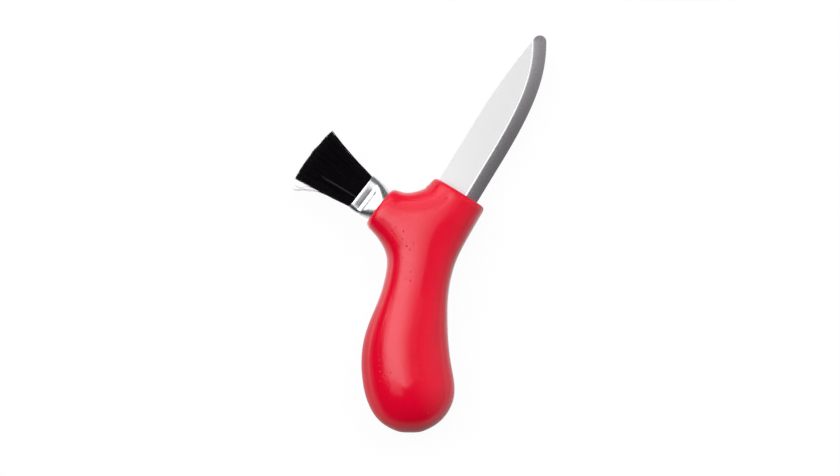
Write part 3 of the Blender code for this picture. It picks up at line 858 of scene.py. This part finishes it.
def ferrule_ring(bm, y, inset, press=0.0):
    """The ferrule's section at y, drawn in by an inset: four corner arcs, with pressed flats between."""
    share = min(max((y + ROUND_END) / (FLAT_START + ROUND_END), 0), 1)
    share = mix(share, ease(share), 0.5)
    flat_x = share * (MOUTH_WIDTH / 2 - MOUTH_CORNER)
    flat_z = share * (MOUTH_DEPTH / 2 - MOUTH_CORNER)
    radius = mix(FERRULE_RADIUS, MOUTH_CORNER, share) - inset
    ring = []
    for quarter in range(4):
        x_side = 1 if quarter in (0, 3) else -1
        z_side = 1 if quarter in (0, 1) else -1
        for step in range(CORNER_STEPS + 1):
            turn = math.pi / 2 * (quarter + step / CORNER_STEPS)
            x = x_side * flat_x + radius * math.cos(turn)
            z = z_side * flat_z + radius * math.sin(turn)
            ring.append(bm.verts.new((x, y, z)))
        for step in range(1, FLAT_STEPS if quarter in (0, 2) else 0):
            across = 1 - 2 * step / FLAT_STEPS
            crown = share * FLAT_CROWN * (1 - across * across)
            ring.append(bm.verts.new((x_side * across * flat_x, y, z_side * (flat_z + radius + crown))))
    for vert in ring:
        left, right = vert.co.x - GROOVE_ENDS[0], GROOVE_ENDS[1] - vert.co.x
        depth = press * ease(left / GROOVE_FADES[0]) * ease(right / GROOVE_FADES[1])
        vert.co.z -= math.copysign(depth, vert.co.z)
        side = ease((abs(vert.co.x) - flat_x) / radius)
        vert.co.x -= math.copysign(press * GROOVE_SIDE_SHARE * side, vert.co.x)
        vert.co.x += mix(TUBE_ASIDE, MOUTH_ASIDE, share)
    return ring


def pressed(y):
    """How deep the ferrule's flats are pressed in at y: the groove behind the lip."""
    down = ease((y - GROOVE_START) / (GROOVE_BOTTOM - GROOVE_START))
    up = min(max((y - GROOVE_BOTTOM) / (GROOVE_END - GROOVE_BOTTOM), 0), 1)
    return GROOVE_DEPTH * (down - up * (1.5 - up / 2))


def make_ferrule():
    start = FERRULE_REACH - LIP_ROUNDING
    stations = [-FERRULE_SEAT, *np.linspace(-ROUND_END, start, FERRULE_STEPS)]
    turns = [math.pi / 2 * i / LIP_STEPS for i in range(1, LIP_STEPS + 1)]
    lip = [(start + LIP_ROUNDING * math.sin(t), LIP_ROUNDING * (1 - math.cos(t))) for t in turns]
    bm = bmesh.new()
    outer = [ferrule_ring(bm, y, 0, pressed(y)) for y in stations]
    outer += [ferrule_ring(bm, y, inset) for y, inset in lip]
    inner = [ferrule_ring(bm, y, FERRULE_WALL, pressed(y)) for y in stations]
    loft(bm, [*outer, *reversed(inner)], closed=True)
    bmesh.ops.remove_doubles(bm, verts=bm.verts, dist=MERGE_DISTANCE)
    ferrule = new_object("ferrule_crimped", bm, BRUSH_PLACE)
    finish_piece(ferrule, "tinned_steel", tinned_steel(), "brush_ferrule")


def hair_places():
    """The hairs' places in the tuft, as shares of its half width and half depth, on a golden spiral."""
    golden = math.pi * (3 - math.sqrt(5))
    half_width, half_depth = TUFT_WIDTH / 2, TUFT_DEPTH / 2
    i = np.arange(math.ceil((half_width**2 + half_depth**2) / HAIR_SPACING**2))
    distance = HAIR_SPACING * np.sqrt(i + 0.5)
    across, up = distance * np.cos(i * golden), distance * np.sin(i * golden)
    places = np.stack([across / half_width, up / half_depth], 1)
    return places[(np.abs(places) ** TUFT_POWER).sum(axis=1) <= 1]


def lock(x, y, z):
    """How far the hairs near a point stray together, from -1 to 1."""
    return noise.noise(Vector((x, 0.4 * y, z)) / LOCK_SIZE)


def hair_line(place, stray, bend, end):
    """A hair's points from the slice to its cut end: it fans out, strays and bends slightly."""
    start = FERRULE_REACH - SLICE_SETBACK
    points = []
    for share in np.linspace(0, 1, HAIR_SAMPLES):
        y = mix(start, end, share)
        fan = (y - FERRULE_REACH) / BRISTLE_LENGTH
        free = max(fan, 0)
        x = place[0] * mix(TUFT_WIDTH, FAN_WIDTH, fan) / 2
        z = place[1] * mix(TUFT_DEPTH, FAN_DEPTH, fan) / 2
        x += stray[0] * free + bend[0] * free * (1 - free) + LOCK_STRAY * free * lock(x, y, z)
        x -= EDGE_PULL * max(place[0], 0) ** 2 * math.sin(math.pi * min(free, 1) ** PULL_POWER)
        z += stray[1] * free + bend[1] * free * (1 - free)
        points.append((x, y, z))
    return points


def loose_line(spots):
    """A smooth line of points through a loose hair's spots."""
    spots = [Vector(spot) for spot in spots]
    points = []
    for i in range(len(spots) - 1):
        before, after = spots[max(i - 1, 0)], spots[min(i + 2, len(spots) - 1)]
        out = spots[i] + (spots[i + 1] - before) / 6
        back = spots[i + 1] - (after - spots[i]) / 6
        points += interpolate_bezier(spots[i], out, back, spots[i + 1], HAIR_SAMPLES)[:-1]
    return [*points, spots[-1]]


def add_hair(verts, faces, points, radius, spin):
    """A three-sided tube along the points, closed at both ends."""
    first = len(verts)
    for x, y, z in points:
        for corner in range(3):
            turn = spin + 2 * math.pi * corner / 3
            verts.append((x + radius * math.cos(turn), y, z + radius * math.sin(turn)))
    for i in range(len(points) - 1):
        low = first + 3 * i
        for corner in range(3):
            other = (corner + 1) % 3
            faces.append((low + corner, low + other, low + 3 + other, low + 3 + corner))
    last = first + 3 * (len(points) - 1)
    faces.append((first, first + 2, first + 1))
    faces.append((last, last + 1, last + 2))


def hair_mesh(name, verts, faces, slot, finish, *nodes):
    mesh = bpy.data.meshes.new(name)
    mesh.from_pydata(verts, [], faces)
    mesh.transform(BRUSH_PLACE)
    mesh.shade_smooth()
    hairs = bpy.data.objects.new(name, mesh)
    bpy.context.scene.collection.objects.link(hairs)
    finish_piece(hairs, slot, finish, *nodes)


def make_loose_hairs():
    for name, lines, radius, finish in (
        ("loose_hairs", LOOSE_HAIRS, LOOSE_RADIUS, black_hair()),
        ("sheen_hairs", SHEEN_HAIRS, SHEEN_RADIUS, sheen_painted_hair()),
    ):
        verts, faces = [], []
        for spots in lines:
            add_hair(verts, faces, loose_line(spots), radius, 0)
        hair_mesh(name, verts, faces, "black_bristle", finish)


def make_bristles():
    """The tuft, hair by hair."""
    rng = np.random.default_rng(5)
    verts, faces = [], []
    for place in hair_places():
        stray = rng.normal(0, HAIR_STRAY, 2)
        bend = rng.normal(0, HAIR_STRAY * 2, 2)
        end = FERRULE_REACH + BRISTLE_LENGTH - END_CROWN * place[0] ** 2
        end += rng.uniform(-HAIR_UNEVEN, HAIR_UNEVEN) + HAIR_UNEVEN * lock(*(place * FAN_WIDTH / 2), 0)
        points = hair_line(place, stray, bend, end)
        add_hair(verts, faces, points, HAIR_RADIUS * rng.uniform(*RADIUS_SHARES), rng.uniform(0, 2))
    hair_mesh("bristle_tuft", verts, faces, "black_bristle", black_hair(), "bristles")


def make_slice():
    """The resin that the hairs stand in, seen only between them."""
    bm = bmesh.new()
    front = FERRULE_REACH - SLICE_SETBACK
    rings = [ferrule_ring(bm, y, FERRULE_WALL + TIGHT_FIT) for y in (front - SLICE_THICKNESS, front)]
    loft(bm, rings)
    bm.faces.new(rings[0])
    bm.faces.new(rings[-1])
    bmesh.ops.remove_doubles(bm, verts=bm.verts, dist=MERGE_DISTANCE)
    resin = new_object("bristle_slice", bm, BRUSH_PLACE)
    dark = hidden_glue("dark_resin", (0.02, 0.015, 0.012), (0.04, 0.03, 0.02), 0.002)
    finish_piece(resin, "black_bristle", dark)


def dress_hidden_nodes():
    nodes = frame["nodes"]
    for name, dark, light in (
        ("tang_bedding", (0.45, 0.33, 0.16), (0.60, 0.46, 0.25)),
        ("bristle_setting", (0.50, 0.38, 0.20), (0.66, 0.54, 0.32)),
    ):
        nodes[name].data.materials.clear()
        nodes[name].data.materials.append(hidden_glue(name + "_glue", dark, light, 0.003))


# Floor, light and camera


FLOOR_SIZE = 12.0
LIGHT_HEIGHT = 3.0
# Soft boxes above the knife, in shares of their height: (low x, high x, low y, high y, radiance). Those
# named fill light matt surfaces only, and reflections don't show them
SOFT_BOXES = {
    "key": (-0.62, -0.22, -0.06, 0.33, 3.2),
    "key_low": (-0.62, -0.22, -0.12, -0.06, 2.3),
    "key_end": (-0.58, -0.26, -0.17, -0.12, 1.2),
    "key_left": (-0.83, -0.62, -0.12, 0.33, 2.0),
    "key_right": (-0.22, -0.10, -0.14, 0.33, 2.6),
    "fade_a": (-0.10, 0.00, -0.12, 0.33, 1.7),
    "fade_b": (0.00, 0.10, -0.08, 0.33, 1.0),
    "fade_c": (0.10, 0.30, 0.00, 0.60, 0.35),
    "upper": (-1.25, -0.45, 0.33, 1.50, 1.8),
    "upper_middle": (-0.45, -0.20, 0.33, 1.50, 1.2),
    "upper_aside": (-1.90, -1.25, 0.75, 1.70, 1.5),
    "upper_far": (-1.90, -0.20, 1.70, 3.20, 0.7),
    "upper_left": (-2.80, -1.90, 1.50, 3.20, 1.5),
    "upper_right": (-0.20, 0.10, 0.33, 1.50, 1.1),
    "lower": (-0.68, -0.20, -0.36, -0.16, 0.75),
    "left": (-0.93, -0.83, -0.20, 0.33, 0.7),
    "fill": (-0.60, 1.00, 0.20, 1.34, 3.9),
    "fill_left": (-1.60, -0.80, 0.00, 0.80, 3.3),
}
DIFFUSE_SKY = 0.03  # radiance that matt surfaces get from all round
# The room's radiance in reflections: dark, with a lighter wedge to the right and one ahead
DARK_SKY = 0.01
RIGHT_SKY = 0.75
RIGHT_SLANT = 0.45  # how fast the right wedge narrows
UPPER_SKY = 0.45
UPPER_SLANT = 0.8
UPPER_ASIDE = 0.25  # how far left of straight ahead the upper wedge has its middle
UPPER_RANGE = (0.2, 0.9)
# The floor's radiance in reflections, by the direction from the knife as a share of a turn from the left
FLOOR_SHINE = (
    (0.000, 2.10),
    (0.030, 1.50),
    (0.083, 0.90),
    (0.160, 0.65),
    (0.250, 0.55),
    (0.333, 0.90),
    (0.417, 0.75),
    (0.500, 1.10),
    (0.583, 0.08),
    (0.667, 0.10),
    (0.750, 0.30),
    (0.833, 0.85),
    (0.917, 0.60),
    (0.950, 0.85),
    (1.000, 2.10),
)
NEAR_SHINE = 0.95  # of the floor close to the ferrule
NEAR_RANGE = (0.036, 0.070)  # distances from the ferrule at which it starts to fall and has fallen
# The radiance of the horizon's glow in reflections, by direction in the same way, and its height
HORIZON_GLOW = (
    (0.000, 0.78),
    (0.050, 0.85),
    (0.083, 0.85),
    (0.144, 0.50),
    (0.250, 0.48),
    (0.333, 0.66),
    (0.417, 0.74),
    (0.500, 0.90),
    (0.560, 0.10),
    (0.620, 0.00),
    (0.880, 0.00),
    (0.930, 0.50),
    (0.960, 0.85),
    (1.000, 0.78),
)
GLOW_HEIGHT = 0.38
GLOW_POWER = 1.4
FLOOR_GREY = 0.38
PAPER_WHITE = 1.14
FLOOR_SHADOW = 0.17  # share of its shaded surface in what the camera sees


def make_floor():
    """White paper that the camera sees almost without shading, and that is uneven in reflections."""
    bm = bmesh.new()
    bmesh.ops.create_grid(bm, x_segments=1, y_segments=1, size=FLOOR_SIZE / 2)
    floor = new_object("floor", bm, Matrix.Identity(4))
    paper = Finish("white_paper", {"Base Color": (FLOOR_GREY,) * 3, "Roughness": 0.9})
    path = paper.add("ShaderNodeLightPath", {}).outputs
    white = paper.glow("ShaderNodeEmission", PAPER_WHITE)
    middle = BRUSH_PLACE @ Vector((0, FERRULE_REACH / 2, 0))
    away = paper.add("ShaderNodeVectorMath", {0: paper.coordinates, 1: (middle.x, middle.y, 0.0)})
    away.operation = "DISTANCE"
    near = paper.spread(away.outputs["Value"], *NEAR_RANGE, NEAR_SHINE, 0)
    shine = paper.glow("ShaderNodeEmission", paper.calculate("MAXIMUM", near, paper.around(FLOOR_SHINE)))
    lit = paper.shader.outputs[0]
    seen = paper.switch(1 - FLOOR_SHADOW, lit, white)
    mirrored = paper.calculate("MAXIMUM", path["Is Glossy Ray"], path["Is Transmission Ray"])
    surface = paper.switch(mirrored, paper.switch(path["Is Camera Ray"], lit, seen), shine)
    paper.feed(paper.tree.nodes["Material Output"].inputs["Surface"], surface)
    floor.data.materials.append(paper.material)


def make_world():
    """An even sky for matt surfaces. Reflections see a dark room, lighter to the right and ahead."""
    world = bpy.data.worlds.new("studio")
    bpy.context.scene.world = world
    world.use_nodes = True
    sky = Nodes(world.node_tree, "Generated")
    path = sky.add("ShaderNodeLightPath", {}).outputs
    way = sky.add("ShaderNodeSeparateXYZ", {"Vector": sky.coordinates}).outputs
    side = sky.calculate("MULTIPLY", sky.calculate("ABSOLUTE", way["Y"], 0.0), RIGHT_SLANT)
    right = sky.spread(sky.calculate("SUBTRACT", way["X"], side), 0, 1, DARK_SKY, RIGHT_SKY)
    aside = sky.calculate("ABSOLUTE", sky.calculate("ADD", way["X"], UPPER_ASIDE), 0.0)
    ahead = sky.calculate("SUBTRACT", way["Y"], sky.calculate("MULTIPLY", aside, UPPER_SLANT))
    upper = sky.spread(ahead, *UPPER_RANGE, 0, UPPER_SKY)
    plain = sky.glow("ShaderNodeBackground", DIFFUSE_SKY)
    low = sky.calculate("POWER", sky.spread(way["Z"], GLOW_HEIGHT, 0), GLOW_POWER)
    glow = sky.calculate("MULTIPLY", low, sky.around(HORIZON_GLOW))
    brightest = sky.calculate("MAXIMUM", glow, sky.calculate("MAXIMUM", right, upper))
    mirrored = sky.glow("ShaderNodeBackground", brightest)
    white = sky.glow("ShaderNodeBackground", 1.0)
    unseen = sky.switch(path["Is Glossy Ray"], plain, mirrored)
    surface = sky.switch(path["Is Camera Ray"], unseen, white)
    sky.feed(sky.tree.nodes["World Output"].inputs["Surface"], surface)


def make_lights():
    for name, (low_x, high_x, low_y, high_y, radiance) in SOFT_BOXES.items():
        light = bpy.data.lights.new(name, "AREA")
        light.shape = "RECTANGLE"
        light.size = (high_x - low_x) * LIGHT_HEIGHT
        light.size_y = (high_y - low_y) * LIGHT_HEIGHT
        light.energy = radiance * math.pi * light.size * light.size_y
        lamp = bpy.data.objects.new(name, light)
        middle = Vector(((low_x + high_x) / 2, (low_y + high_y) / 2, 1))
        lamp.location = middle * LIGHT_HEIGHT
        lamp.visible_camera = False
        lamp.visible_glossy = not name.startswith("fill")
        bpy.context.scene.collection.objects.link(lamp)


def make_camera():
    camera = bpy.data.cameras.new("overhead")
    camera.lens = camera.sensor_width * (CAMERA_HEIGHT - FORK.z) / PICTURE_WIDTH
    camera.clip_start, camera.clip_end = 0.05, 40
    holder = bpy.data.objects.new("overhead", camera)
    x, y = PICTURE_FROM_FORK
    holder.location = (FORK.x + x, FORK.y + y, CAMERA_HEIGHT)
    bpy.context.scene.collection.objects.link(holder)
    bpy.context.scene.camera = holder


make_handle()
make_blade()
make_ferrule()
make_bristles()
make_loose_hairs()
make_slice()
dress_hidden_nodes()
make_floor()
make_world()
make_lights()
make_camera()
bpy.context.scene.view_settings.view_transform = "Standard"
